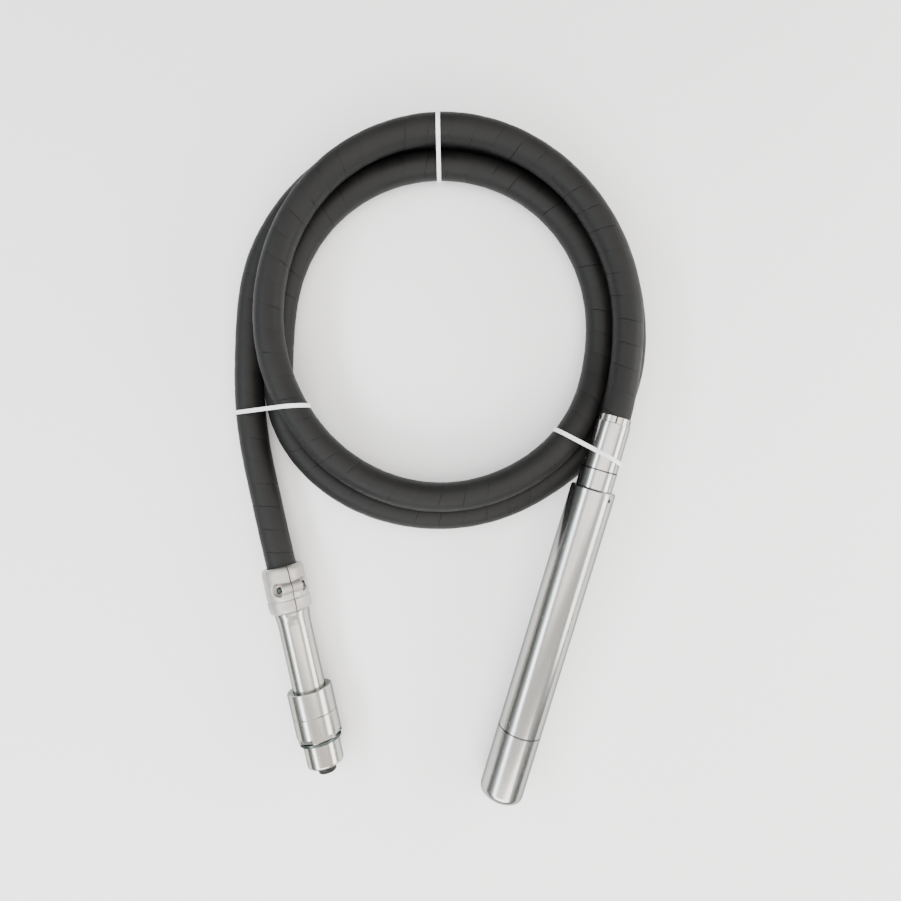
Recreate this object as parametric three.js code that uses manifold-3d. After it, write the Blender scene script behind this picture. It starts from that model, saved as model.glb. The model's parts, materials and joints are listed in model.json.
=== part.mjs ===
// Flexible-shaft concrete vibrator, lying on the floor with its hose coiled and tied.
// Millimetres, +Z up. The head and the motor coupling point towards -Y.
// Origin: bottom centre of the box round the head and the coupling together.
import * as THREE from 'three';
import { mergeVertices } from 'three/addons/utils/BufferGeometryUtils.js';
import Module from 'manifold-3d';

const wasm = await Module();
wasm.setup();

// ---- Driving dimensions ----------------------------------------------------------------
const GAP = 0.3; // clearance between neighbouring pieces
const FINE = 24; // sides of a large turned piece
const COARSE = 16; // sides of a small turned piece
const RING_SIDES = 20; // sides of a bearing ring

const HOSE_R = 17; // hose outer radius
const HOSE_BORE_R = 11.3;
const LINER_R = 11;
const LINER_BORE_R = 8.6;
const CORE_R = 6.5; // flexible core shaft
const HOSE_SIDES = 12;

const COIL_CENTRE = new THREE.Vector2(-11, 150);
const COIL_FLOOR_Z = 18.5; // centre height of the turns on the floor
const COIL_TOP_Z = 52.2; // centre height of the turn lying on them
const COIL_SIDES = 40;
const COIL_SECTION = [
  { u: 186.5, z: COIL_FLOOR_Z, r: HOSE_R },
  { u: 226, z: COIL_FLOOR_Z, r: HOSE_R },
  { u: 214, z: COIL_TOP_Z, r: HOSE_R },
  { u: 195, z: COIL_TOP_Z, r: HOSE_R },
];

const TIE_WIDTH = 4.8;
const TIE_GAP = 0.35;
const TIE_THICKNESS = 1.15;
const LOCK_LENGTH = 6.4;
const LOCK_WIDTH = 7;
const LOCK_HEIGHT = 4.2;

// Head, stations s measured from its tip along its axis
const HEAD_TIP = new THREE.Vector3(57.6, -403, 24.9);
const HEAD_AZIMUTH = THREE.MathUtils.degToRad(73.84);
const HEAD_SLOPE = THREE.MathUtils.degToRad(3.87);
const HEAD_R = 25.5;
const HEAD_BORE_R = 18;
const CAP_END = 83;
const TUBE_END = 376;
const NECK_R = 20.2;
const NECK_MOUTH_R = 19.4;
const NECK_JOINT = 398;
const NECK_END = 453;
const HOSE_STOP = 425.7; // shoulder that the hose end butts on
const COLLET_END = 460;

// Rolling rotor
const RACE_R = 13.5;
const ROTOR_TIP_R = 10.95;
const ROTOR_PIVOT = 276;
const ROTOR_OFFSET = RACE_R - ROTOR_TIP_R - GAP;
const ROTOR_CONTACT = 46;

// Ball bearings
const BEARING_WIDTH = 11;
const BEARING_STATIONS = [308, 331];
const BALL_R = 2.7;
const BALL_PITCH_R = 13.25;
const BALL_COUNT = 7;
const GROOVE_R = 3.05;
const SPINDLE_R = 8.5;

// Coupling, stations t measured from the hose face of the clamp along its axis
const COUPLING_FACE = new THREE.Vector3(-197.6, -134.4, 26);
const COUPLING_AXIS = new THREE.Vector3(0.2215, -0.9752, 0).normalize();
const CLAMP_LENGTH = 53;
const CLAMP_R = 24.3;
const PIPE_R = 18.75;
const PIPE_BORE_R = 12;
const COLLAR_R = 26;
const COLLAR_BORE_R = 23.2;
const COLLAR_START = 146;
const COLLAR_JOINT = 175;
const COLLAR_END = 203.8;
const NOTCH_COUNT = 7; // spanner notches round the collar's front edge
const NOTCH_WIDTH = 18;
const NOTCH_DEPTH = 5.6;
const NOTCH_FLOOR_R = 22.3;
const NOTCH_TURN = THREE.MathUtils.degToRad(-26.5); // from straight up to the first notch
const SPIGOT_R = 21.25;
const SPIGOT_END = 236;
const DRIVE_R = 9;
const DRIVE_TIP_R = 10.5;
const DRIVE_TIP_LENGTH = 9;
const BUSH_R = 11.7;
const SPRING_START = 158.3;
const SPRING_END = 189.5;
const SPRING_R = 21.4;
const SPRING_WIRE_R = 0.8;
const SPRING_TURNS = 4;

// Hose routes outside the coil; both are straight where they enter their fittings
const HEAD_HOSE_BENDS = [
  [194.4, 75.2, 54.2],
  [198.7, 105.4, 52.9],
];
const TAIL_HOSE_BENDS = [
  [-236.4, 126.5, 18.6],
  [-237.2, 83, 18.7],
  [-234.4, 36, 19.3],
  [-226.4, -11, 21.5],
  [-215.4, -58, 24.3],
  [-206.6, -96, 25.8],
];

// ---- Materials -------------------------------------------------------------------------
function finish(color, roughness, metalness) {
  return new THREE.MeshStandardMaterial({ color, roughness, metalness });
}

const POLISHED_STEEL = finish(0x9c9a93, 0.22, 1);
const TURNED_STEEL = finish(0x8b8a86, 0.32, 1);
const PLATED_STEEL = finish(0xa59f8c, 0.3, 1);
const CAST_ALUMINIUM = finish(0xb9b5aa, 0.55, 0.9);
const DARK_STEEL = finish(0x2c2e2b, 0.45, 0.8);
const BRONZE = finish(0x9b7440, 0.4, 1);
const HOSE_RUBBER = finish(0x1d1d1e, 0.75, 0);
const SEAL_RUBBER = finish(0x141414, 0.7, 0);
const WHITE_NYLON = finish(0xf0f0ee, 0.5, 0);

// ---- Shape helpers ---------------------------------------------------------------------
// Turned piece about +Y from [radius, station] pairs listed anticlockwise.
function turned(outline, sides = FINE) {
  const points = outline.map(([radius, station]) => new THREE.Vector2(radius, station));
  return new THREE.LatheGeometry(points, sides);
}

function ring(innerR, outerR, start, end, sides = FINE) {
  return turned([[innerR, start], [outerR, start], [outerR, end], [innerR, end], [innerR, start]], sides);
}

// Round rod from start to end with small chamfers.
function rod(radius, start, end, sides = COARSE, chamfer = 0.5) {
  return turned([
    [0, start], [radius - chamfer, start], [radius, start + chamfer],
    [radius, end - chamfer], [radius - chamfer, end], [0, end],
  ], sides);
}

function arc(centreR, centreS, radius, fromDeg, toDeg, steps) {
  const points = [];
  for (let i = 0; i <= steps; i += 1) {
    const angle = THREE.MathUtils.degToRad(fromDeg + (toDeg - fromDeg) * i / steps);
    points.push([centreR + radius * Math.cos(angle), centreS + radius * Math.sin(angle)]);
  }
  return points;
}

function solidOf(geometry) {
  const bare = geometry.clone();
  bare.deleteAttribute('normal');
  bare.deleteAttribute('uv');
  const merged = mergeVertices(bare, 1e-4);
  const corners = merged.index.array;
  const kept = [];
  for (let i = 0; i < corners.length; i += 3) {
    const [a, b, c] = [corners[i], corners[i + 1], corners[i + 2]];
    if (a !== b && b !== c && c !== a) kept.push(a, b, c);
  }
  return new wasm.Manifold(new wasm.Mesh({
    numProp: 3,
    vertProperties: new Float32Array(merged.attributes.position.array),
    triVerts: new Uint32Array(kept),
  }));
}

function geometryOf(solid) {
  const mesh = solid.getMesh();
  const geometry = new THREE.BufferGeometry();
  geometry.setAttribute('position', new THREE.BufferAttribute(mesh.vertProperties, 3));
  geometry.setIndex(new THREE.BufferAttribute(mesh.triVerts, 1));
  return geometry;
}

function cut(geometry, tools) {
  let solid = solidOf(geometry);
  for (const tool of tools) solid = solid.subtract(solidOf(tool));
  return geometryOf(solid);
}

function join(geometries) {
  let solid = solidOf(geometries[0]);
  for (const geometry of geometries.slice(1)) solid = solid.add(solidOf(geometry));
  return geometryOf(solid);
}

function common(first, second) {
  return geometryOf(solidOf(first).intersect(solidOf(second)));
}

// Box between two corners, which may be given in either order.
function block(x0, x1, y0, y1, z0, z1) {
  const box = new THREE.BoxGeometry(Math.abs(x1 - x0), Math.abs(y1 - y0), Math.abs(z1 - z0));
  return box.translate((x0 + x1) / 2, (y0 + y1) / 2, (z0 + z1) / 2);
}

// Convex outline round a list of points, anticlockwise.
function hull(points) {
  const sorted = [...points].sort((a, b) => a.x - b.x || a.y - b.y);
  const turn = (o, a, b) => (a.x - o.x) * (b.y - o.y) - (a.y - o.y) * (b.x - o.x);
  const half = (list) => {
    const chain = [];
    for (const point of list) {
      while (chain.length > 1 && turn(chain.at(-2), chain.at(-1), point) < 1e-3) chain.pop();
      chain.push(point);
    }
    return chain.slice(0, -1);
  };
  return [...half(sorted), ...half(sorted.reverse())];
}

function circlePoints(u, z, radius, count) {
  return Array.from({ length: count }, (_, i) => {
    const angle = 2 * Math.PI * i / count;
    return new THREE.Vector2(u + radius * Math.cos(angle), z + radius * Math.sin(angle));
  });
}

// Tight outline round circles {u, z, r}, grown outwards by a margin.
function bundleOutline(circles, margin, count = 12) {
  return hull(circles.flatMap(({ u, z, r }) => circlePoints(u, z, r + margin, count)));
}

function ringSection(outerR, innerR, sides) {
  const section = new THREE.Shape(circlePoints(0, 0, outerR, sides));
  if (innerR > 0) section.holes.push(new THREE.Path(circlePoints(0, 0, innerR, sides)));
  return section;
}

// Tube or rod along a smooth curve through points.
function alongRoute(points, steps, outerR, innerR = 0, sides = HOSE_SIDES) {
  const extrudePath = new THREE.CatmullRomCurve3(points, false, 'centripetal');
  return new THREE.ExtrudeGeometry(ringSection(outerR, innerR, sides), { steps, extrudePath });
}

function piece(parent, name, geometry, material) {
  const mesh = new THREE.Mesh(geometry, material);
  mesh.name = name;
  parent.add(mesh);
  return mesh;
}

// Group whose +Y runs along an axis, with +Z as near to up as it can be.
function axisGroup(position, axis) {
  const side = new THREE.Vector3().crossVectors(axis, new THREE.Vector3(0, 0, 1)).normalize();
  const up = new THREE.Vector3().crossVectors(side, axis);
  const group = new THREE.Group();
  group.quaternion.setFromRotationMatrix(new THREE.Matrix4().makeBasis(side, axis, up));
  group.position.copy(position);
  return group;
}

// ---- Layout ----------------------------------------------------------------------------
const headAxis = new THREE.Vector3(
  Math.cos(HEAD_SLOPE) * Math.cos(HEAD_AZIMUTH),
  Math.cos(HEAD_SLOPE) * Math.sin(HEAD_AZIMUTH),
  Math.sin(HEAD_SLOPE),
);
const headPoint = (s) => HEAD_TIP.clone().addScaledVector(headAxis, s);
const couplingPoint = (t) => COUPLING_FACE.clone().addScaledVector(COUPLING_AXIS, t);
const bends = (list) => list.map((place) => new THREE.Vector3(...place));

const assembly = new THREE.Group();
const head = axisGroup(HEAD_TIP, headAxis);
const coupling = axisGroup(COUPLING_FACE, COUPLING_AXIS);
const hoseGroup = new THREE.Group();
assembly.add(head, coupling, hoseGroup);

// ---- Head ------------------------------------------------------------------------------
function buildEndCap() {
  const noseR = 9;
  const spigotR = 22.2;
  const boreR = 18.5;
  const boreEnd = 22;
  const outline = [
    [0, 0], ...arc(HEAD_R - noseR, noseR, noseR, -90, 0, 5), [HEAD_R, CAP_END], [spigotR, CAP_END],
    [spigotR, CAP_END + 5], [20.2, CAP_END + 5], [20.2, CAP_END + 8], [spigotR, CAP_END + 8],
    [spigotR, CAP_END + 14.5], [boreR, CAP_END + 14.5], [boreR, boreEnd], [0, boreEnd],
  ];
  piece(head, 'end_cap', turned(outline), POLISHED_STEEL);
  const oRing = arc(21.35, CAP_END + 6.5, 0.85, 0, 360, 5);
  piece(head, 'cap_o_ring', turned(oRing), SEAL_RUBBER);
  piece(head, 'raceway', ring(RACE_R, boreR - GAP, boreEnd + 4, 62), TURNED_STEEL);
}

function grubScrewAt(radius, start, end) {
  const station = TUBE_END - 8;
  const tilt = THREE.MathUtils.degToRad(40);
  return rod(radius, start, end, 12, 0.3).rotateX(Math.PI / 2).rotateY(tilt).translate(0, station, 0);
}

function buildTube() {
  const start = CAP_END + GAP;
  const socketR = 22.6;
  const chamfer = 1.6;
  const shell = turned([
    [socketR, start], [HEAD_R, start], [HEAD_R, TUBE_END - chamfer], [HEAD_R - chamfer, TUBE_END],
    [HEAD_BORE_R, TUBE_END], [HEAD_BORE_R, CAP_END + 15], [socketR, CAP_END + 15], [socketR, start],
  ]);
  piece(head, 'head_tube', cut(shell, [grubScrewAt(2.1, HEAD_BORE_R - 1, HEAD_R + 2)]), POLISHED_STEEL);
  piece(head, 'lock_screw', grubScrewAt(1.8, HEAD_BORE_R + GAP, HEAD_R - 0.5), DARK_STEEL);
}

function buildBearing(name, start, spindleBody) {
  const mid = start + BEARING_WIDTH / 2;
  const end = start + BEARING_WIDTH;
  const outerLand = 15.4;
  const innerLand = 11.1;
  const half = (land) => THREE.MathUtils.radToDeg(Math.acos(Math.abs(land - BALL_PITCH_R) / GROOVE_R));
  const outerGroove = arc(BALL_PITCH_R, mid, GROOVE_R, half(outerLand), -half(outerLand), 4);
  const innerGroove = arc(BALL_PITCH_R, mid, GROOVE_R, 180 + half(innerLand), 180 - half(innerLand), 4);
  const outerR = HEAD_BORE_R - GAP;
  const innerR = SPINDLE_R + GAP;
  const outer = [[outerLand, start], [outerR, start], [outerR, end], [outerLand, end], ...outerGroove];
  const inner = [[innerR, start], [innerLand, start], ...innerGroove, [innerLand, end], [innerR, end]];
  piece(head, `${name}_outer_ring`, turned([...outer, outer[0]], RING_SIDES), TURNED_STEEL);
  piece(spindleBody, `${name}_inner_ring`, turned([...inner, inner[0]], RING_SIDES), TURNED_STEEL);
  const balls = Array.from({ length: BALL_COUNT }, (_, i) => {
    const angle = 2 * Math.PI * i / BALL_COUNT;
    const ball = new THREE.SphereGeometry(BALL_R, 8, 5);
    return ball.translate(BALL_PITCH_R * Math.cos(angle), mid, BALL_PITCH_R * Math.sin(angle));
  });
  const cage = join([ring(12.4, 14.1, start + 2.2, end - 2.2, 2 * BALL_COUNT), ...balls]);
  piece(head, `${name}_cage`, cage, BRONZE);
}

function buildSpindle() {
  const socketR = 5.3;
  const shoulderEnd = BEARING_STATIONS[0] - GAP;
  const end = 404;
  piece(head, 'rotor_joint', rod(10, ROTOR_PIVOT + GAP, 292), SEAL_RUBBER);
  piece(head, 'spindle', turned([
    [0, 292.3], [12, 292.3], [12, shoulderEnd], [SPINDLE_R, shoulderEnd], [SPINDLE_R, end],
    [socketR, end], [socketR, 380], [0, 380],
  ], COARSE), TURNED_STEEL);
  piece(head, 'spindle_circlip', ring(SPINDLE_R + GAP, 11.2, 342.4, 343.8, COARSE), DARK_STEEL);
  piece(head, 'head_core_ferrule', turned([
    [0, 381], [5, 381], [5, end + GAP], [7.5, end + GAP], [7.5, 422], [0, 422],
  ], COARSE), TURNED_STEEL);
}

function buildRotor() {
  const tilted = new THREE.Group();
  tilted.position.y = ROTOR_PIVOT;
  tilted.rotation.x = Math.asin(ROTOR_OFFSET / (ROTOR_PIVOT - ROTOR_CONTACT));
  head.add(tilted);
  const rotor = turned([
    [0, -244], [9, -244], [ROTOR_TIP_R, -241], [ROTOR_TIP_R, -219], [7.5, -213], [7.5, -204],
    [13.5, -198], [13.5, -22], [6, -15], [6, -GAP], [0, -GAP],
  ], 24);
  piece(tilted, 'rotor', rotor, TURNED_STEEL);
}

function buildBearingCap() {
  const sealSeatR = 14.3;
  const spigotR = HEAD_BORE_R - GAP;
  const start = 344.3;
  piece(head, 'bearing_cap', turned([
    [9.6, start], [spigotR, start], [spigotR, TUBE_END + GAP], [NECK_R + 0.4, TUBE_END + GAP],
    [NECK_R + 0.4, NECK_JOINT], [16.3, NECK_JOINT], [16.3, 384], [sealSeatR, 384], [sealSeatR, 351.7],
    [9.6, 351.7], [9.6, start],
  ]), POLISHED_STEEL);
  piece(head, 'bearing_spacer', ring(15.5, spigotR, 319.3, 330.7, COARSE), TURNED_STEEL);
  piece(head, 'oil_seal', ring(SPINDLE_R + GAP, sealSeatR - GAP, 352, 359, COARSE), SEAL_RUBBER);
}

function buildHoseSocket() {
  const start = NECK_JOINT + GAP;
  const nippleR = 16;
  const colletSeatR = 18.5;
  const colletSeat = 443;
  piece(head, 'hose_socket', turned([
    [9, 385], [nippleR, 385], [nippleR, 389], [14.2, 389], [14.2, 392], [nippleR, 392], [nippleR, start],
    [NECK_R, start], [NECK_MOUTH_R, NECK_END - 1], [NECK_MOUTH_R - 0.5, NECK_END],
    [colletSeatR, NECK_END], [colletSeatR, colletSeat], [HOSE_R + GAP, colletSeat],
    [HOSE_R + GAP, HOSE_STOP], [9, HOSE_STOP], [9, 385],
  ]), POLISHED_STEEL);
  piece(head, 'socket_o_ring', turned(arc(15.2, 390.5, 0.7, 0, 360, 5)), SEAL_RUBBER);

  const slotCount = 6;
  const slots = Array.from({ length: slotCount }, (_, i) => {
    const slot = block(-0.8, 0.8, NECK_END - 2, COLLET_END + 1, 14, 22);
    return slot.rotateY(2 * Math.PI * (i + 0.5) / slotCount);
  });
  const collet = ring(HOSE_R + GAP, colletSeatR - GAP, colletSeat + 1, COLLET_END);
  piece(head, 'hose_collet', cut(collet, slots), PLATED_STEEL);
}

// ---- Motor coupling --------------------------------------------------------------------
// The clamp's two halves meet in a plane turned about the axis, with a bolt boss on each side.
const CLAMP_TURN = THREE.MathUtils.degToRad(-30);
const BOLT_STATION = 24.5;
const BOLT_HEIGHT = 20.8;
const BOLT_R = 2.5;
const BOLT_HEAD_R = 3.8;
const BOLT_HEAD_HEIGHT = 3.4;
const BOSS_R = 7;
const NUT_HEIGHT = 3.2;
// The lower bolt is the shorter, so that its ends stay clear of the floor.
const CLAMP_BOLTS = [
  { label: 'top', side: 1, half: 12.2, pocketR: 8.2 },
  { label: 'bottom', side: -1, half: 5.2, pocketR: 4.1 },
];

// Rod along the bolt's axis, at a height of BOLT_HEIGHT above or below the coupling's axis.
function clampRod(side, radius, from, to, sides = 12) {
  const along = rod(radius, from, to, sides, 0.2).rotateZ(-Math.PI / 2);
  return along.translate(0, BOLT_STATION, side * BOLT_HEIGHT);
}

function buildClamp() {
  const clamp = new THREE.Group();
  clamp.rotation.y = CLAMP_TURN;
  coupling.add(clamp);
  const pipeSeatR = PIPE_R + 0.5;
  const outside = 40; // beyond the clamp's own radius
  const shell = turned([
    [HOSE_R + GAP, 0], [20.2, 0], [22.6, 1.5], [24, 5], [CLAMP_R, 9], [CLAMP_R, 36], [23.5, 36.6],
    [23.5, 37.6], [24.7, 38.8], [24.8, 47], [24, 51], [22.5, CLAMP_LENGTH], [pipeSeatR, CLAMP_LENGTH],
    [pipeSeatR, 40], [21.4, 40], [21.4, 33], [pipeSeatR, 33], [pipeSeatR, 29.5], [HOSE_R + GAP, 29.5],
    [HOSE_R + GAP, 0],
  ]);
  // The lower boss is trimmed round, so that the clamp stays above the floor.
  const bosses = CLAMP_BOLTS.map(({ side, half }) => clampRod(side, BOSS_R, -half, half, FINE));
  const trimmed = common(bosses[1], rod(COLLAR_R - 0.5, 0, CLAMP_LENGTH, FINE));
  const bore = rod(HOSE_R + GAP, -1, CLAMP_LENGTH + 1, FINE);
  const pipeSeat = rod(pipeSeatR, 29.5, CLAMP_LENGTH + 1, FINE);
  const casting = cut(join([shell, bosses[0], trimmed]), [bore, pipeSeat]);
  for (const [name, hand] of Object.entries({ clamp_half_a: -1, clamp_half_b: 1 })) {
    const tools = [block(hand * GAP, -hand * outside, -5, outside + 20, -outside, outside)];
    for (const { side, half, pocketR } of CLAMP_BOLTS) {
      const [from, to] = [hand * half, hand * outside].sort((a, b) => a - b);
      tools.push(clampRod(side, pocketR, from, to, COARSE));
      tools.push(clampRod(side, BOLT_R + GAP, -outside, outside));
    }
    piece(clamp, name, cut(casting, tools), CAST_ALUMINIUM);
  }
  for (const { label, side, half } of CLAMP_BOLTS) {
    const shank = clampRod(side, BOLT_R, -half - 1, half + GAP + NUT_HEIGHT + 0.5);
    const cap = clampRod(side, BOLT_HEAD_R, -half - GAP - BOLT_HEAD_HEIGHT, -half - GAP);
    piece(clamp, `clamp_bolt_${label}`, join([shank, cap]), DARK_STEEL);
    const nut = new THREE.CylinderGeometry(BOLT_HEAD_R, BOLT_HEAD_R, NUT_HEIGHT, 6).rotateZ(Math.PI / 2);
    nut.translate(half + GAP + NUT_HEIGHT / 2, BOLT_STATION, side * BOLT_HEIGHT);
    const thread = clampRod(side, BOLT_R + GAP, -outside, outside);
    piece(clamp, `clamp_nut_${label}`, cut(nut, [thread]), DARK_STEEL);
  }
}

function buildCouplingTube() {
  const nippleR = 17;
  const nipple = 172;
  piece(coupling, 'coupling_tube', turned([
    [PIPE_BORE_R, 31], [PIPE_R, 31], [PIPE_R, 33.4], [21.1, 33.4], [21.1, 39.6], [PIPE_R, 39.6],
    [PIPE_R, CLAMP_LENGTH + 0.6], [20.2, CLAMP_LENGTH + 0.6], [20, 57], [19.2, 62], [PIPE_R, 68],
    [PIPE_R, nipple], [nippleR, nipple], [nippleR, 182], [PIPE_BORE_R, 182], [PIPE_BORE_R, 31],
  ]), PLATED_STEEL);
  const grooveR = 20;
  piece(coupling, 'spigot', turned([
    [nippleR + GAP, nipple + GAP], [19.8, nipple + GAP], [19.8, 193], [20.9, 193], [20.9, 204],
    [grooveR, 204], [grooveR, 208.4], [SPIGOT_R, 208.4],
    ...arc(SPIGOT_R - 2.5, SPIGOT_END - 2.5, 2.5, 0, 90, 3),
    [PIPE_BORE_R, SPIGOT_END], [PIPE_BORE_R, 182.3], [nippleR + GAP, 182.3], [nippleR + GAP, nipple + GAP],
  ]), TURNED_STEEL);
  piece(coupling, 'retaining_ring', ring(grooveR + GAP, 22.4, 204.3, 208.1), DARK_STEEL);
  piece(coupling, 'spring_seat', ring(PIPE_R + GAP, COLLAR_BORE_R - GAP, 154, 158), TURNED_STEEL);
}

function buildCollar() {
  const collar = new THREE.Group();
  coupling.add(collar);
  const lapR = 24.4;
  const lapEnd = COLLAR_JOINT + 6;
  piece(collar, 'collar_cap', turned([
    [PIPE_R + 0.35, COLLAR_START], [25, COLLAR_START], [COLLAR_R, COLLAR_START + 1],
    [COLLAR_R, COLLAR_JOINT], [lapR, COLLAR_JOINT], [lapR, lapEnd], [COLLAR_BORE_R, lapEnd],
    [COLLAR_BORE_R, COLLAR_START + 6], [PIPE_R + 0.35, COLLAR_START + 6], [PIPE_R + 0.35, COLLAR_START],
  ]), PLATED_STEEL);
  const sleeve = turned([
    [lapR + GAP, COLLAR_JOINT + GAP], [COLLAR_R, COLLAR_JOINT + GAP], [COLLAR_R, COLLAR_END - 1],
    [COLLAR_R - 1, COLLAR_END], [21.2, COLLAR_END], [21.2, 190], [COLLAR_BORE_R, 190],
    [COLLAR_BORE_R, lapEnd + GAP], [lapR + GAP, lapEnd + GAP], [lapR + GAP, COLLAR_JOINT + GAP],
  ]);
  const notches = Array.from({ length: NOTCH_COUNT }, (_, i) => {
    const [from, to] = [COLLAR_END - NOTCH_DEPTH, COLLAR_END + 2];
    const notch = block(-NOTCH_WIDTH / 2, NOTCH_WIDTH / 2, from, to, NOTCH_FLOOR_R, COLLAR_R + 4);
    return notch.rotateY(NOTCH_TURN - 2 * Math.PI * i / NOTCH_COUNT);
  });
  piece(collar, 'lock_collar', cut(sleeve, notches), PLATED_STEEL);

  const stepsPerTurn = 14;
  const steps = SPRING_TURNS * stepsPerTurn;
  const first = SPRING_START + SPRING_WIRE_R;
  const rise = SPRING_END - SPRING_WIRE_R - first;
  const wire = Array.from({ length: steps + 1 }, (_, i) => {
    const angle = 2 * Math.PI * i / stepsPerTurn;
    const [x, z] = [SPRING_R * Math.cos(angle), SPRING_R * Math.sin(angle)];
    return new THREE.Vector3(x, first + rise * i / steps, z);
  });
  piece(coupling, 'collar_spring', alongRoute(wire, steps, SPRING_WIRE_R, 0, 6), TURNED_STEEL);
}

function buildDrive() {
  const socketR = 5.3;
  const start = 160;
  const tipStart = SPIGOT_END + 0.4;
  piece(coupling, 'drive_shaft', turned([
    [socketR, start], [DRIVE_R, start], [DRIVE_R, SPIGOT_END], [0, SPIGOT_END], [0, 182], [socketR, 182],
    [socketR, start],
  ], COARSE), TURNED_STEEL);
  piece(coupling, 'drive_core_ferrule', turned([
    [0, 150.3], [7.5, 150.3], [7.5, start - GAP], [5, start - GAP], [5, 181], [0, 181],
  ], COARSE), TURNED_STEEL);
  const tipEnd = tipStart + DRIVE_TIP_LENGTH;
  const squareHalf = 4;
  const socket = block(-squareHalf, squareHalf, tipStart - 1, tipEnd + 1, -squareHalf, squareHalf);
  piece(coupling, 'drive_tip', cut(rod(DRIVE_TIP_R, tipStart, tipEnd, FINE, 0.8), [socket]), SEAL_RUBBER);
  piece(coupling, 'rear_bush', ring(DRIVE_R + GAP, BUSH_R, 186, 196, COARSE), BRONZE);
  piece(coupling, 'front_bush', ring(DRIVE_R + GAP, BUSH_R, 220, 230, COARSE), BRONZE);
  piece(coupling, 'dust_seal', ring(DRIVE_R + GAP, BUSH_R, 230.4, 235.6, COARSE), SEAL_RUBBER);
}

// ---- Hose ------------------------------------------------------------------------------
function buildHoseEnds() {
  const headRoute = [headPoint(426), headPoint(443), headPoint(COLLET_END), ...bends(HEAD_HOSE_BENDS)];
  const tailRoute = [...bends(TAIL_HOSE_BENDS), couplingPoint(0), couplingPoint(14), couplingPoint(29)];
  const headCore = [headPoint(422.3), ...headRoute.slice(1)];
  const tailCore = [...tailRoute, couplingPoint(90), couplingPoint(150)];
  const ends = [['head', headRoute, headCore, 5, 5], ['tail', tailRoute, tailCore, 7, 10]];
  for (const [name, route, coreRoute, steps, coreSteps] of ends) {
    piece(hoseGroup, `hose_${name}`, alongRoute(route, steps, HOSE_R, HOSE_BORE_R), HOSE_RUBBER);
    piece(hoseGroup, `liner_${name}`, alongRoute(route, steps, LINER_R, LINER_BORE_R), TURNED_STEEL);
    piece(hoseGroup, `core_${name}`, alongRoute(coreRoute, coreSteps, CORE_R), DARK_STEEL);
  }
  return { headRoute, tailRoute };
}

// Room for a hose end: the tube grown by the gap, with a disc just past its end in the coil.
function hoseRoom(route, steps, endPoint, before) {
  const radius = HOSE_R + GAP + 0.3;
  const outward = endPoint.clone().sub(before).normalize();
  const disc = new THREE.CylinderGeometry(radius, radius, 6, HOSE_SIDES);
  const turn = new THREE.Quaternion().setFromUnitVectors(new THREE.Vector3(0, 1, 0), outward);
  disc.applyQuaternion(turn);
  const centre = endPoint.clone().addScaledVector(outward, GAP - 3);
  return [alongRoute(route, steps, radius), disc.translate(centre.x, centre.y, centre.z)];
}

function coilProfile() {
  const outline = bundleOutline(COIL_SECTION, 0);
  return [...outline, outline[0]];
}

// Outline of the coil cut by an upright plane through a point, in (distance along it, height).
function coilCut(point, azimuth) {
  const along = new THREE.Vector2(Math.cos(azimuth), Math.sin(azimuth));
  const offset = point.clone().sub(COIL_CENTRE);
  const near = offset.dot(along);
  const across = Math.abs(offset.cross(along));
  const flat = Math.cos(Math.PI / COIL_SIDES);
  return coilProfile().flatMap(({ x, y }) => [x, x * flat].map((radius) => {
    const reach = Math.sqrt(radius * radius - across * across);
    return new THREE.Vector2((near < 0 ? -reach : reach) - near, y);
  }));
}

function buildTie(name, point, azimuth, extras) {
  const outwardSign = Math.sign(point.clone().sub(COIL_CENTRE).dot(
    new THREE.Vector2(Math.cos(azimuth), Math.sin(azimuth))));
  const normal = new THREE.Vector2(-Math.sin(azimuth), Math.cos(azimuth));
  const shifts = [-TIE_WIDTH / 2, 0, TIE_WIDTH / 2];
  const faces = shifts.map((shift) => point.clone().addScaledVector(normal, shift));
  const section = [
    ...faces.flatMap((face) => coilCut(face, azimuth)),
    ...extras.flatMap(({ u, z, r }) => circlePoints(u, z, r, 24)),
  ];
  const grown = (margin) => hull(section.flatMap(({ x, y }) => circlePoints(x, y, margin, 12)));
  const outer = grown(TIE_GAP + TIE_THICKNESS);
  const band = new THREE.Shape(outer);
  band.holes.push(new THREE.Path(grown(TIE_GAP)));
  const strap = new THREE.ExtrudeGeometry(band, { depth: TIE_WIDTH, bevelEnabled: false });
  strap.translate(0, 0, -TIE_WIDTH / 2);
  // The lock sits on the band's lower outer quarter, turned square to it.
  const lean = Math.PI / 6;
  const reach = outer.map(({ x, y }) => x * outwardSign * Math.cos(lean) - y * Math.sin(lean));
  const seat = outer[reach.indexOf(Math.max(...reach))];
  const lock = new THREE.BoxGeometry(LOCK_HEIGHT, LOCK_LENGTH, LOCK_WIDTH);
  lock.translate(LOCK_HEIGHT / 2 - TIE_THICKNESS / 2, 0, 0).rotateZ(-lean);
  if (outwardSign < 0) lock.rotateY(Math.PI);
  lock.translate(seat.x, seat.y, 0);
  const tie = join([strap, lock]);
  tie.rotateX(Math.PI / 2).rotateZ(azimuth).translate(point.x, point.y, 0);
  piece(hoseGroup, name, tie, WHITE_NYLON);
}

// Where an axis line passes through an upright plane, in the plane's own coordinates.
function planeHit(origin, axis, point, azimuth) {
  const normal = new THREE.Vector3(-Math.sin(azimuth), Math.cos(azimuth), 0);
  const along = new THREE.Vector3(Math.cos(azimuth), Math.sin(azimuth), 0);
  const base = new THREE.Vector3(point.x, point.y, 0);
  const travel = base.clone().sub(origin).dot(normal) / axis.dot(normal);
  const hit = origin.clone().addScaledVector(axis, travel).sub(base);
  return { u: hit.dot(along), z: hit.z };
}

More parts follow.
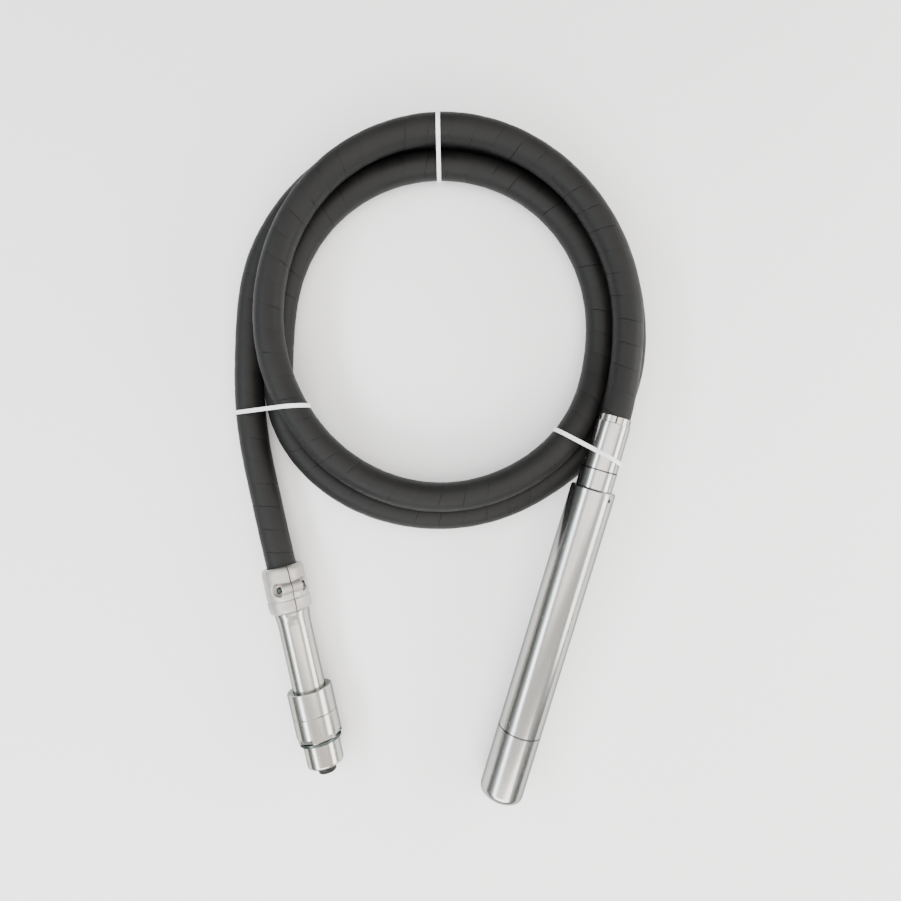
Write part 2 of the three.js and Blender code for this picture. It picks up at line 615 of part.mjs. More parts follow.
function buildTies() {
  const topAzimuth = THREE.MathUtils.degToRad(90.8);
  const topDirection = new THREE.Vector2(Math.cos(topAzimuth), Math.sin(topAzimuth));
  const topPoint = COIL_CENTRE.clone().addScaledVector(topDirection, 200);
  buildTie('cable_tie_top', topPoint, topAzimuth, []);

  const tailPlace = new THREE.Vector3(...TAIL_HOSE_BENDS[2]);
  const tailTravel = tailPlace.clone().sub(new THREE.Vector3(...TAIL_HOSE_BENDS[1])).normalize();
  const leftPoint = new THREE.Vector2(-197, 48);
  const leftAzimuth = THREE.MathUtils.degToRad(4.3);
  const tail = planeHit(tailPlace, tailTravel, leftPoint, leftAzimuth);
  buildTie('cable_tie_left', leftPoint, leftAzimuth, [{ ...tail, r: HOSE_R + 0.4 }]);

  const rightPoint = new THREE.Vector2(154, 4);
  const rightAzimuth = THREE.MathUtils.degToRad(-29.5);
  const neck = planeHit(HEAD_TIP, headAxis, rightPoint, rightAzimuth);
  buildTie('cable_tie_right', rightPoint, rightAzimuth, [{ ...neck, r: NECK_R * 1.05 }]);
}

function buildCoil({ headRoute, tailRoute }) {
  const ringShape = new THREE.LatheGeometry(coilProfile(), COIL_SIDES).rotateX(Math.PI / 2);
  ringShape.translate(COIL_CENTRE.x, COIL_CENTRE.y, 0);
  const room = HOSE_R + GAP;
  const headRoom = turned([
    [0, CAP_END], [HEAD_R + GAP, CAP_END], [HEAD_R + GAP, TUBE_END + GAP], [NECK_R + 0.8, TUBE_END + GAP],
    [NECK_R + 0.8, COLLET_END], [room, COLLET_END + GAP], [0, COLLET_END + GAP],
  ]);
  head.updateMatrix();
  headRoom.applyMatrix4(head.matrix);
  const tools = [
    headRoom,
    ...hoseRoom(headRoute, 5, headRoute.at(-1), headRoute.at(-2)),
    ...hoseRoom(tailRoute, 7, tailRoute[0], tailRoute[1]),
  ];
  piece(hoseGroup, 'hose_coil', cut(ringShape, tools), HOSE_RUBBER);
}

// ---- Assembly --------------------------------------------------------------------------
buildEndCap();
buildTube();
buildRotor();
buildSpindle();
BEARING_STATIONS.forEach((station, i) => buildBearing(`bearing_${'ab'[i]}`, station, head));
buildBearingCap();
buildHoseSocket();
buildClamp();
buildCouplingTube();
buildCollar();
buildDrive();
buildCoil(buildHoseEnds());
buildTies();

assembly.updateMatrixWorld(true);
const ownBox = new THREE.Box3();
for (const group of [head, coupling]) ownBox.expandByObject(group, true);
const middle = ownBox.getCenter(new THREE.Vector3());
assembly.position.set(-middle.x, -middle.y, -ownBox.min.z);

const vibrator = new THREE.Group();
vibrator.add(assembly);

export default vibrator;
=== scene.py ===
import json
import math

import bmesh
import bpy
import numpy as np
from mathutils import Matrix, Vector


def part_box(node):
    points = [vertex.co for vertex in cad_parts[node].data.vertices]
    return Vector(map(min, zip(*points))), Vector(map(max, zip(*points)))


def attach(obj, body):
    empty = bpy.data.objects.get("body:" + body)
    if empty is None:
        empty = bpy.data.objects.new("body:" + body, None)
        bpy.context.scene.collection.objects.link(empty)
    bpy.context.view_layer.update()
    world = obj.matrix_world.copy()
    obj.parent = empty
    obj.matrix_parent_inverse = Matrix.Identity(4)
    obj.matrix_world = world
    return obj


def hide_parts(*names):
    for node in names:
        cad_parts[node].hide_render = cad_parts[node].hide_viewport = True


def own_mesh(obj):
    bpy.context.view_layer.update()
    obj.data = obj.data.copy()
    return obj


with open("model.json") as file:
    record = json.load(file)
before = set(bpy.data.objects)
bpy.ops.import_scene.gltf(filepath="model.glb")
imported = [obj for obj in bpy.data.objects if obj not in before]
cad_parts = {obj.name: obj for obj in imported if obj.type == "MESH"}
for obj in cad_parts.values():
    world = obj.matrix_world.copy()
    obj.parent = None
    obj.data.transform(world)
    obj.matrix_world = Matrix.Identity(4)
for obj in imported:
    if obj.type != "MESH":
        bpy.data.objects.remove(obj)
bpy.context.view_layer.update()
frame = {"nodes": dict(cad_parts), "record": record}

# A flexible-shaft concrete vibrator: polished steel head, coiled rubber hose, motor coupling.
# Metres, in the CAD frame. Turned outlines are in millimetres, as (radius, station, corner radius).
MM = 0.001
record = frame["record"]
mounts = {mount["name"]: mount for mount in record["mounts"]}


# ---- Places ----------------------------------------------------------------------------
def place_along(origin, axis):
    """Matrix of a frame whose +Y runs along an axis, with +Z as near to up as it can be."""
    axis = Vector(axis).normalized()
    side = axis.cross(Vector((0, 0, 1))).normalized()
    matrix = Matrix((side, axis, side.cross(axis))).transposed().to_4x4()
    matrix.translation = origin
    return matrix


SPIGOT_END = 236  # station of the spigot's flat end
SEAT_HEIGHT = 14.8  # of the motor seat's point above the coupling's axis
CLAMP_TURN = math.radians(-30)

tip = mounts["tip_face"]
HEAD = place_along(tip["pos_m"], -Vector(tip["axis"]))
seat = mounts["motor_seat"]
seat_axis = Vector(seat["axis"]).normalized()
seat_centre = Vector(seat["pos_m"]) - Vector((0, 0, SEAT_HEIGHT * MM))
COUPLING = place_along(seat_centre - seat_axis * SPIGOT_END * MM, seat_axis)
CLAMP = COUPLING @ Matrix.Rotation(CLAMP_TURN, 4, "Y")

coil_low, coil_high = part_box("hose_coil")
COIL = (coil_low + coil_high) / 2
COIL.z = 0

# ---- Camera ----------------------------------------------------------------------------
CAMERA_HEIGHT = 0.8
CAMERA_OFFSET = Vector((0.011, -0.150, CAMERA_HEIGHT))  # from the coil's centre on the floor
CAMERA_LENS = 26.45


def build_camera():
    data = bpy.data.cameras.new("camera")
    data.lens = CAMERA_LENS
    data.sensor_width = 36
    camera = bpy.data.objects.new("camera", data)
    camera.location = COIL + CAMERA_OFFSET
    bpy.context.scene.collection.objects.link(camera)
    bpy.context.scene.camera = camera


build_camera()

# ---- Hose route ------------------------------------------------------------------------
HOSE_R = 0.017
HOSE_BORE_R = 0.0113
HOSE_STOP = 426  # head station of the hose's end
COLLET_END = 460
COUPLING_DEPTH = 29  # how far the hose runs into the clamp
ROUTE_STEP = 0.00225
HOSE_SIDES = 40
WRAP_PITCH = 0.027  # of the tape that the hose was cured in
CLOTH_PITCH = 0.0011  # of the tape's weave
CLOTH_COUNT = 96  # threads round the hose

# The coil: (angle in degrees round its centre, radius, height) where its turns bend or step.
COIL_KNOTS = [
    (-29.8, 0.2260, 0.0559), (-16, 0.2160, 0.0534), (0, 0.2116, 0.0522), (15, 0.2102, 0.0522),
    (30, 0.2098, 0.0522), (45, 0.2106, 0.0522), (60, 0.2122, 0.0522), (75, 0.2138, 0.0522),
    (90, 0.2140, 0.0522), (107, 0.2116, 0.0522), (125, 0.2078, 0.0520), (145, 0.2018, 0.0520),
    (166, 0.1962, 0.0526), (182, 0.1946, 0.0532), (195, 0.1946, 0.0532), (210, 0.1956, 0.0508),
    (228, 0.1988, 0.0466), (245, 0.2014, 0.0442), (262, 0.2030, 0.0440), (282, 0.2026, 0.0444),
    (300, 0.2006, 0.0440), (315, 0.1984, 0.0422), (330, 0.1944, 0.0340), (345, 0.1900, 0.0220),
    (360, 0.1878, 0.0186), (390, 0.1868, 0.0185), (420, 0.1864, 0.0185), (450, 0.1862, 0.0185),
    (480, 0.1866, 0.0185), (510, 0.1872, 0.0185), (530, 0.1878, 0.0185), (543, 0.1904, 0.0185),
    (556, 0.1996, 0.0185), (566, 0.2106, 0.0185), (578, 0.2202, 0.0185), (592, 0.2252, 0.0185),
    (606, 0.2266, 0.0185), (625, 0.2260, 0.0185), (648, 0.2246, 0.0185), (668, 0.2236, 0.0185),
    (682, 0.2268, 0.0185), (694, 0.2286, 0.0185), (706, 0.2274, 0.0185), (722, 0.2232, 0.0185),
    (750, 0.2214, 0.0185), (780, 0.2210, 0.0185), (810, 0.2210, 0.0185), (840, 0.2216, 0.0185),
    (870, 0.2230, 0.0185), (890, 0.2244, 0.0185),
]
COIL_START = -18
COIL_STEP = 12
# From the coil to the coupling, measured from the coil's centre
TAIL_BENDS = [
    (-0.2254, -0.0235, 0.0186), (-0.2262, -0.0670, 0.0187), (-0.2234, -0.1140, 0.0193),
    (-0.2154, -0.1610, 0.0215), (-0.2044, -0.2080, 0.0243), (-0.1956, -0.2460, 0.0258),
]


def spline(knots, values, places):
    """Natural cubic spline through (knots, values), read at places."""
    knots, values, places = (np.asarray(x, float) for x in (knots, values, places))
    count = len(knots)
    gap = np.diff(knots)
    matrix = np.eye(count)
    target = np.zeros(count)
    for i in range(1, count - 1):
        matrix[i, i - 1:i + 2] = gap[i - 1], 2 * (gap[i - 1] + gap[i]), gap[i]
        rise = (values[i + 1] - values[i]) / gap[i] - (values[i] - values[i - 1]) / gap[i - 1]
        target[i] = 6 * rise
    bend = np.linalg.solve(matrix, target)
    k = np.clip(np.searchsorted(knots, places) - 1, 0, count - 2)
    t, h = places - knots[k], gap[k]
    slope = (values[k + 1] - values[k]) / h - h * (2 * bend[k] + bend[k + 1]) / 6
    return values[k] + t * slope + t * t * bend[k] / 2 + t ** 3 * (bend[k + 1] - bend[k]) / (6 * h)


def hose_route():
    """Points along the hose's centreline, ROUTE_STEP apart, from the head to the coupling."""
    angles, radii, heights = (list(x) for x in zip(*COIL_KNOTS))
    turns = np.arange(COIL_START, angles[-1] + 0.01, COIL_STEP)
    r = spline(angles, radii, turns)
    z = spline(angles, heights, turns)
    a = np.radians(turns)
    coil = np.stack([COIL.x + r * np.cos(a), COIL.y + r * np.sin(a), z], 1)
    start = [HEAD @ Vector((0, s * MM, 0)) for s in (HOSE_STOP, HOSE_STOP + 17, COLLET_END - 1)]
    tail = [Vector((COIL.x + x, COIL.y + y, z)) for x, y, z in TAIL_BENDS]
    end = [COUPLING @ Vector((0, t * MM, 0)) for t in (0, COUPLING_DEPTH / 2, COUPLING_DEPTH)]
    points = np.array([list(p) for p in start] + coil.tolist() + [list(p) for p in tail + end])
    run = np.r_[0, np.cumsum(np.linalg.norm(np.diff(points, axis=0), axis=1))]
    places = np.linspace(0, run[-1], round(run[-1] / ROUTE_STEP) + 1)
    return np.stack([spline(run, points[:, i], places) for i in range(3)], 1)


ROUTE = hose_route()
ROUTE_RUN = np.r_[0, np.cumsum(np.linalg.norm(np.diff(ROUTE, axis=0), axis=1))]


# ---- Materials -------------------------------------------------------------------------
def node(tree, kind, settings=None, **inputs):
    """A shader node; an input given a socket is linked, and one given a value is set."""
    made = tree.nodes.new(kind)
    for key, value in (settings or {}).items():
        setattr(made, key, value)
    for key, value in inputs.items():
        socket = made.inputs[key.replace("_", " ")]
        if isinstance(value, bpy.types.NodeSocket):
            tree.links.new(value, socket)
        else:
            socket.default_value = value
    return made


def maths(tree, operation, *values):
    made = tree.nodes.new("ShaderNodeMath")
    made.operation = operation
    for socket, value in zip(made.inputs, values):
        if isinstance(value, bpy.types.NodeSocket):
            tree.links.new(value, socket)
        else:
            socket.default_value = value
    return made.outputs[0]


def remap(tree, value, low, high, to_low=0.0, to_high=1.0):
    made = node(tree, "ShaderNodeMapRange", {"interpolation_type": "SMOOTHSTEP"}, Value=value,
                From_Min=low, From_Max=high, To_Min=to_low, To_Max=to_high)
    return made.outputs[0]


def noise(tree, vector, scale, detail=3.0, roughness=0.5):
    made = node(tree, "ShaderNodeTexNoise", None, Vector=vector, Scale=scale, Detail=detail,
                Roughness=roughness)
    return made.outputs[0]


def stretched(tree, vector, scale):
    made = node(tree, "ShaderNodeMapping", None, Vector=vector, Scale=scale)
    return made.outputs[0]


def blend_colour(tree, factor, first, second):
    made = node(tree, "ShaderNodeMixRGB", None, Fac=factor, Color1=first, Color2=second)
    return made.outputs[0]


def grey(value, warm=0.0):
    return (value * (1 + warm), value, value * (1 - warm), 1.0)


def blank_material(name, **plain):
    """A material with its Principled shader, whose plain values sit on its own sockets."""
    material = bpy.data.materials.new(name)
    material.use_nodes = True
    tree = material.node_tree
    tree.nodes.clear()
    output = tree.nodes.new("ShaderNodeOutputMaterial")
    shader = node(tree, "ShaderNodeBsdfPrincipled", None, **plain)
    tree.links.new(shader.outputs[0], output.inputs[0])
    place = tree.nodes.new("ShaderNodeTexCoord").outputs["Object"]
    return material, tree, shader, place


def finish_material(tree, shader, colour, roughness, height, distance, strength=1.0):
    tree.links.new(colour, shader.inputs["Base Color"])
    tree.links.new(roughness, shader.inputs["Roughness"])
    bump = node(tree, "ShaderNodeBump", None, Height=height, Distance=distance, Strength=strength)
    tree.links.new(bump.outputs[0], shader.inputs["Normal"])


EDGE_TINT = (0.25, 0.30, 0.30, 1)  # steel's darker reflection at a grazing angle


def machined(name, light, dark, rough_low, rough_high, groove=0.000012, joints=()):
    """Turned or ground metal: grooves round the axis, lengthwise streaks, soft blotches, scratches
    and a line of dirt in each joint, given by its station along the axis."""
    material, tree, shader, place = blank_material(name, Metallic=1.0, Specular_Tint=EDGE_TINT)
    grooves = noise(tree, stretched(tree, place, (60, 5200, 60)), 1.0, 2.0)
    streaks = noise(tree, stretched(tree, place, (420, 9, 420)), 1.0, 4.0, 0.6)
    blotches = noise(tree, place, 7.0, 4.0, 0.55)
    scratches = noise(tree, stretched(tree, place, (900, 60, 900)), 1.0, 1.0)
    scratch = remap(tree, scratches, 0.70, 0.76)
    wear = maths(tree, "ADD", maths(tree, "MULTIPLY", streaks, 0.5), maths(tree, "MULTIPLY", blotches, 0.5))
    colour = blend_colour(tree, remap(tree, wear, 0.35, 0.65), dark, light)
    station = node(tree, "ShaderNodeSeparateXYZ", None, Vector=place).outputs[1]
    for joint in joints:
        gap = maths(tree, "ABSOLUTE", maths(tree, "SUBTRACT", station, joint))
        colour = blend_colour(tree, remap(tree, gap, 0.0005, 0.0012, 0.85, 0.0), colour, grey(0.02, 0.1))
    rough = remap(tree, wear, 0.3, 0.7, rough_high, rough_low)
    rough = maths(tree, "ADD", rough, maths(tree, "MULTIPLY", scratch, 0.12))
    height = maths(tree, "SUBTRACT", grooves, maths(tree, "MULTIPLY", scratch, 0.8))
    finish_material(tree, shader, colour, rough, height, groove)
    return material


def cast_metal(name):
    """Sand-cast aluminium: fine grain, small pits and a dull skin rubbed brighter in patches."""
    material, tree, shader, place = blank_material(name, Metallic=0.9)
    grain = noise(tree, place, 1500.0, 3.0, 0.65)
    lumps = noise(tree, place, 240.0, 3.0)
    patches = noise(tree, place, 45.0, 4.0, 0.6)
    pits = node(tree, "ShaderNodeTexVoronoi", {"feature": "F1"}, Vector=place, Scale=520.0).outputs[0]
    pit = remap(tree, pits, 0.0, 0.16, 1.0, 0.0)
    tone = blend_colour(tree, remap(tree, patches, 0.35, 0.7), grey(0.36, 0.06), grey(0.44, 0.05))
    colour = blend_colour(tree, maths(tree, "MULTIPLY", pit, 0.35), tone, grey(0.12, 0.04))
    parting = maths(tree, "ABSOLUTE", node(tree, "ShaderNodeSeparateXYZ", None, Vector=place).outputs[0])
    grime = remap(tree, parting, 0.0004, 0.0010, 0.45, 0.0)
    colour = blend_colour(tree, grime, colour, grey(0.03, 0.1))
    rough = remap(tree, patches, 0.3, 0.7, 0.56, 0.44)
    height = maths(tree, "ADD", grain, maths(tree, "MULTIPLY", lumps, 1.6))
    height = maths(tree, "SUBTRACT", height, pit)
    finish_material(tree, shader, colour, rough, height, 0.00012, 0.7)
    return material


def hose_rubber(name):
    """Black rubber cured in a tape wrap: a helical mark each pitch, cloth grain, creases and dust."""
    material, tree, shader, place = blank_material(name)
    shader.inputs["Specular IOR Level"].default_value = 0.22
    uv = node(tree, "ShaderNodeUVMap", {"uv_map": "hose"}).outputs[0]
    split = node(tree, "ShaderNodeSeparateXYZ", None, Vector=uv)
    around, along = split.outputs[0], split.outputs[1]
    wrap = maths(tree, "ADD", maths(tree, "DIVIDE", along, WRAP_PITCH), around)
    phase = maths(tree, "FRACT", wrap)
    turn = maths(tree, "FLOOR", wrap)
    near = maths(tree, "MINIMUM", phase, maths(tree, "SUBTRACT", 1.0, phase))
    line = remap(tree, near, 0.004, 0.03, 1.0, 0.0)
    broken = remap(tree, noise(tree, place, 34.0, 2.0), 0.42, 0.62)
    line = maths(tree, "MULTIPLY", line, maths(tree, "ADD", 0.15, maths(tree, "MULTIPLY", broken, 0.85)))
    tape = node(tree, "ShaderNodeTexWhiteNoise", {"noise_dimensions": "1D"}, W=turn).outputs[0]
    weft = maths(tree, "SINE", maths(tree, "MULTIPLY", along, 2 * math.pi / CLOTH_PITCH))
    warp = maths(tree, "SINE", maths(tree, "MULTIPLY", around, 2 * math.pi * CLOTH_COUNT))
    cloth = maths(tree, "MULTIPLY", weft, warp)
    girth = maths(tree, "MULTIPLY", around, 0.11)
    flow = node(tree, "ShaderNodeCombineXYZ", None, X=girth, Y=along)
    crease = noise(tree, stretched(tree, flow.outputs[0], (26, 420, 1)), 1.0, 3.0, 0.6)
    smudge = noise(tree, place, 16.0, 5.0, 0.6)
    tone = blend_colour(tree, remap(tree, smudge, 0.3, 0.72), grey(0.0045), grey(0.008, 0.03))
    tone = blend_colour(tree, maths(tree, "MULTIPLY", tape, 0.35), tone, grey(0.011))
    colour = blend_colour(tree, maths(tree, "MULTIPLY", line, 0.75), tone, grey(0.001))
    rough = remap(tree, smudge, 0.3, 0.7, 0.47, 0.58)
    rough = maths(tree, "ADD", rough, maths(tree, "MULTIPLY", tape, 0.07))
    height = maths(tree, "ADD", maths(tree, "MULTIPLY", cloth, 0.06), maths(tree, "MULTIPLY", crease, 0.55))
    height = maths(tree, "ADD", height, maths(tree, "MULTIPLY", phase, 0.35))
    height = maths(tree, "SUBTRACT", height, maths(tree, "MULTIPLY", line, 1.3))
    finish_material(tree, shader, colour, rough, height, 0.00028)
    return material


def plain_rubber(name):
    """Smooth moulded nitrile with a faint grain and scuffs."""
    material, tree, shader, place = blank_material(name)
    shader.inputs["Specular IOR Level"].default_value = 0.25
    grain = noise(tree, place, 1400.0, 2.0)
    scuff = noise(tree, place, 130.0, 4.0, 0.65)
    colour = blend_colour(tree, remap(tree, scuff, 0.4, 0.75), grey(0.006), grey(0.020, 0.04))
    finish_material(tree, shader, colour, remap(tree, scuff, 0.3, 0.7, 0.42, 0.62), grain, 0.00005)
    return material


def white_nylon(name):
    """Moulded nylon strap: milky, with faint flow marks and handling dirt."""
    material, tree, shader, place = blank_material(name, Subsurface_Weight=0.12, Subsurface_Scale=0.001)
    flow = noise(tree, place, 260.0, 3.0)
    dirt = noise(tree, place, 75.0, 4.0, 0.6)
    colour = blend_colour(tree, remap(tree, dirt, 0.5, 0.8), (0.86, 0.86, 0.87, 1), (0.70, 0.69, 0.68, 1))
    finish_material(tree, shader, colour, remap(tree, dirt, 0.3, 0.7, 0.34, 0.5), flow, 0.00004)
    return material


def floor_material():
    material, tree, shader, place = blank_material("floor")
    grain = noise(tree, place, 900.0, 2.0)
    cloud = noise(tree, place, 3.0, 3.0)
    colour = blend_colour(tree, cloud, grey(0.94), grey(0.96))
    finish_material(tree, shader, colour, remap(tree, cloud, 0.3, 0.7, 0.62, 0.7), grain, 0.00002)
    return material


HEAD_JOINTS = (0.08315, 0.39815)  # stations of the joints at the end cap and the hose socket

# A machined metal's arguments are its bright and its worn colour, and its roughness where bright and worn.
MATERIALS = {
    "polished_steel": machined(
        "polished_steel", (0.44, 0.435, 0.42, 1), (0.37, 0.365, 0.355, 1), 0.16, 0.26, joints=HEAD_JOINTS
    ),
    "turned_steel": machined(
        "turned_steel", (0.36, 0.36, 0.35, 1), (0.30, 0.30, 0.29, 1), 0.2, 0.32, groove=0.00002
    ),
    "plated_steel": machined("plated_steel", (0.49, 0.465, 0.42, 1), (0.40, 0.40, 0.39, 1), 0.17, 0.28),
    "cast_aluminium": cast_metal("cast_aluminium"),
    "dark_steel": machined("dark_steel", (0.10, 0.115, 0.11, 1), (0.05, 0.056, 0.054, 1), 0.26, 0.42),
    "bronze": machined("bronze", (0.66, 0.46, 0.25, 1), (0.50, 0.34, 0.18, 1), 0.24, 0.38),
    "hose_rubber": hose_rubber("hose_rubber"),
    "seal_rubber": plain_rubber("seal_rubber"),
    "white_nylon": white_nylon("white_nylon"),
}


# ---- Mesh helpers ----------------------------------------------------------------------
SHARP = 32  # degrees above which an edge between two faces stays crisp


def object_from(name, bm, place=None, sharp=SHARP):
    bmesh.ops.recalc_face_normals(bm, faces=bm.faces)
    mesh = bpy.data.meshes.new(name)
    bm.to_mesh(mesh)
    bm.free()
    mesh.shade_smooth()
    mesh.set_sharp_from_angle(angle=math.radians(sharp))
    made = bpy.data.objects.new(name, mesh)
    if place is not None:
        made.matrix_world = place
    bpy.context.scene.collection.objects.link(made)
    return made


def settle(made, slot, body, *nodes):
    """Gives a piece its finish, its body and the CAD nodes it stands for."""
    made.data.materials.append(MATERIALS[slot])
    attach(made, body)
    if nodes:
        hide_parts(*nodes)
    return made


def filleted(outline, closed, steps=6):
    """Outline of (radius, station, corner radius) points with its corners rounded."""
    points = []
    count = len(outline)
    for i, (r, s, radius) in enumerate(outline):
        corner = Vector((r, s))
        if radius <= 0 or (not closed and i in (0, count - 1)):
            points.append(corner)
            continue
        back = Vector(outline[i - 1][:2]) - corner
        ahead = Vector(outline[(i + 1) % count][:2]) - corner
        half = back.angle(ahead) / 2
        reach = min(radius / math.tan(half), 0.45 * back.length, 0.45 * ahead.length)
        radius = reach * math.tan(half)
        back.normalize()
        ahead.normalize()
        centre = corner + (back + ahead).normalized() * (radius / math.sin(half))
        first = corner + back * reach - centre
        last = corner + ahead * reach - centre
        points.append(corner + back * reach * 1.1)
        for k in range(steps + 1):
            share = k / steps
            turn = first.lerp(last, share).normalized() if share in (0, 1) else first.slerp(last, share)
            points.append(centre + turn.normalized() * radius)
        points.append(corner + ahead * reach * 1.1)
    return points


def lathe(outline, closed=True, sides=96):
    """bmesh of an outline in millimetres turned about +Y."""
    bm = bmesh.new()
    rows = []
    for r, s in filleted(outline, closed):
        if r < 1e-6:
            rows.append([bm.verts.new((0, s * MM, 0))])
            continue
        angles = [2 * math.pi * k / sides for k in range(sides)]
        spokes = [(r * MM * math.cos(a), r * MM * math.sin(a)) for a in angles]
        rows.append([bm.verts.new((x, s * MM, z)) for x, z in spokes])
    pairs = list(zip(rows, rows[1:] + rows[:1]))
    for low, high in (pairs if closed else pairs[:-1]):
        for k in range(sides):
            ring = [low[k % len(low)], low[(k + 1) % len(low)]]
            ring += [high[(k + 1) % len(high)], high[k % len(high)]]
            ring = [v for i, v in enumerate(ring) if v not in ring[:i]]
            if len(ring) > 2:
                bm.faces.new(ring)
    return bm


def turned(name, outline, place, closed=True, sides=96):
    return object_from(name, lathe(outline, closed, sides), place)


def rod(name, radius, start, end, place, edge=0.4, sides=64):
    outline = [(0, start, 0), (radius, start, edge), (radius, end, edge), (0, end, 0)]
    return turned(name, outline, place, closed=False, sides=sides)


def block(name, low, high, place):
    bm = bmesh.new()
    bmesh.ops.create_cube(bm, size=1)
    for v in bm.verts:
        v.co = [MM * (a + (b - a) * (c + 0.5)) for a, b, c in zip(low, high, v.co)]
    return object_from(name, bm, place)


def boolean(made, tool, operation="DIFFERENCE"):
    """Cuts or joins a tool into a piece, and removes the tool."""
    modifier = made.modifiers.new("boolean", "BOOLEAN")
    modifier.object = tool
    modifier.operation = operation
    modifier.solver = "EXACT"
    bake_modifiers(made)
    bpy.data.objects.remove(tool)
    made.data.set_sharp_from_angle(angle=math.radians(SHARP))
    return made


def bake_modifiers(made):
    bpy.context.view_layer.update()
    graph = bpy.context.evaluated_depsgraph_get()
    mesh = bpy.data.meshes.new_from_object(made.evaluated_get(graph))
    made.modifiers.clear()
    made.data = mesh
    mesh.name = made.name


def about_axis(place, angle):
    return place @ Matrix.Rotation(angle, 4, "Y")


# ---- Head ------------------------------------------------------------------------------
SCREW_STATION = 368  # of the grub screw that locks the bearing cap
SCREW_TURN = math.radians(40)
COLLET_SLOTS = 6


def build_head():
    cap = turned("end_cap_shell", [
        (0, 0, 0), (25.5, 0, 9), (25.5, 83, 0.5), (22.2, 83, 0), (22.2, 88, 0), (20.2, 88, 0),
        (20.2, 91, 0), (22.2, 91, 0), (22.2, 97.5, 0.5), (18.5, 97.5, 0), (18.5, 22, 0), (0, 22, 0),
    ], HEAD, closed=False, sides=128)
    settle(cap, "polished_steel", "housing", "end_cap")
    tube = turned("head_tube_shell", [
        (22.6, 83.3, 0), (25.5, 83.3, 0.5), (25.5, 374.4, 0.35), (23.9, 376, 0.3), (18, 376, 0), (18, 98, 0),
        (22.6, 98, 0),
    ], HEAD, sides=128)
    screw_place = HEAD @ Matrix.Translation((0, SCREW_STATION * MM, 0)) @ Matrix.Rotation(SCREW_TURN, 4, "Y")
    screw_place = screw_place @ Matrix.Rotation(math.pi / 2, 4, "X")
    boolean(tube, rod("screw_hole", 2.2, 17, 28, screw_place, 0.0, 40))
    settle(tube, "polished_steel", "housing", "head_tube")
    screw = rod("grub_screw", 1.95, 18.3, 25.0, screw_place, 0.25, 40)
    boolean(screw, rod("screw_socket", 1.0, 23.2, 27, screw_place, 0.0, 6))
    settle(screw, "dark_steel", "housing", "lock_screw")
    cap_ring = turned("bearing_cap_turned", [
        (9.6, 344.3, 0), (17.7, 344.3, 0.3), (17.7, 376.3, 0), (20.6, 376.3, 0.3), (20.6, 398, 0.35),
        (16.3, 398, 0), (16.3, 384, 0), (14.3, 384, 0), (14.3, 351.7, 0), (9.6, 351.7, 0),
    ], HEAD)
    settle(cap_ring, "polished_steel", "housing", "bearing_cap")
    socket = turned("hose_socket_turned", [
        (9, 385, 0), (16, 385, 0), (16, 389, 0), (14.2, 389, 0), (14.2, 392, 0), (16, 392, 0),
        (16, 398.3, 0), (20.2, 398.3, 0.35), (19.4, 452.2, 0.8), (18.5, 453, 0.2), (18.5, 443, 0),
        (17.3, 443, 0), (17.3, 425.7, 0), (9, 425.7, 0),
    ], HEAD)
    settle(socket, "polished_steel", "housing", "hose_socket")
    collet = turned("hose_collet_slotted", [
        (17.3, 444, 0.1), (18.2, 444, 0.1), (18.2, 460, 0.35), (17.3, 460, 0.1),
    ], HEAD)
    for i in range(COLLET_SLOTS):
        place = about_axis(HEAD, 2 * math.pi * i / COLLET_SLOTS - 0.1)
        boolean(collet, block("slot", (-0.8, 451, 14), (0.8, 461, 22), place))
    settle(collet, "plated_steel", "housing", "hose_collet")


# ---- Coupling --------------------------------------------------------------------------
BOLT_STATION = 24.5
BOLT_HEIGHT = 20.8
BOSS_R = 7
HALF_GAP = 0.3  # from the clamp's middle plane to each half
NOTCH_COUNT = 7
NOTCH_TURN = math.radians(-26.5)  # from straight up to the first notch
# Each bolt's side, half the length of its boss, and the radius of the pockets at the boss's ends
CLAMP_BOLTS = [("top", 1, 12.2, 8.2), ("bottom", -1, 5.2, 4.1)]
CAST_VOXEL = 0.0006


def bolt_place(side):
    """Frame of a clamp bolt, with +Y along the bolt."""
    centre = Matrix.Translation((0, BOLT_STATION * MM, side * BOLT_HEIGHT * MM))
    return CLAMP @ centre @ Matrix.Rotation(-math.pi / 2, 4, "Z")


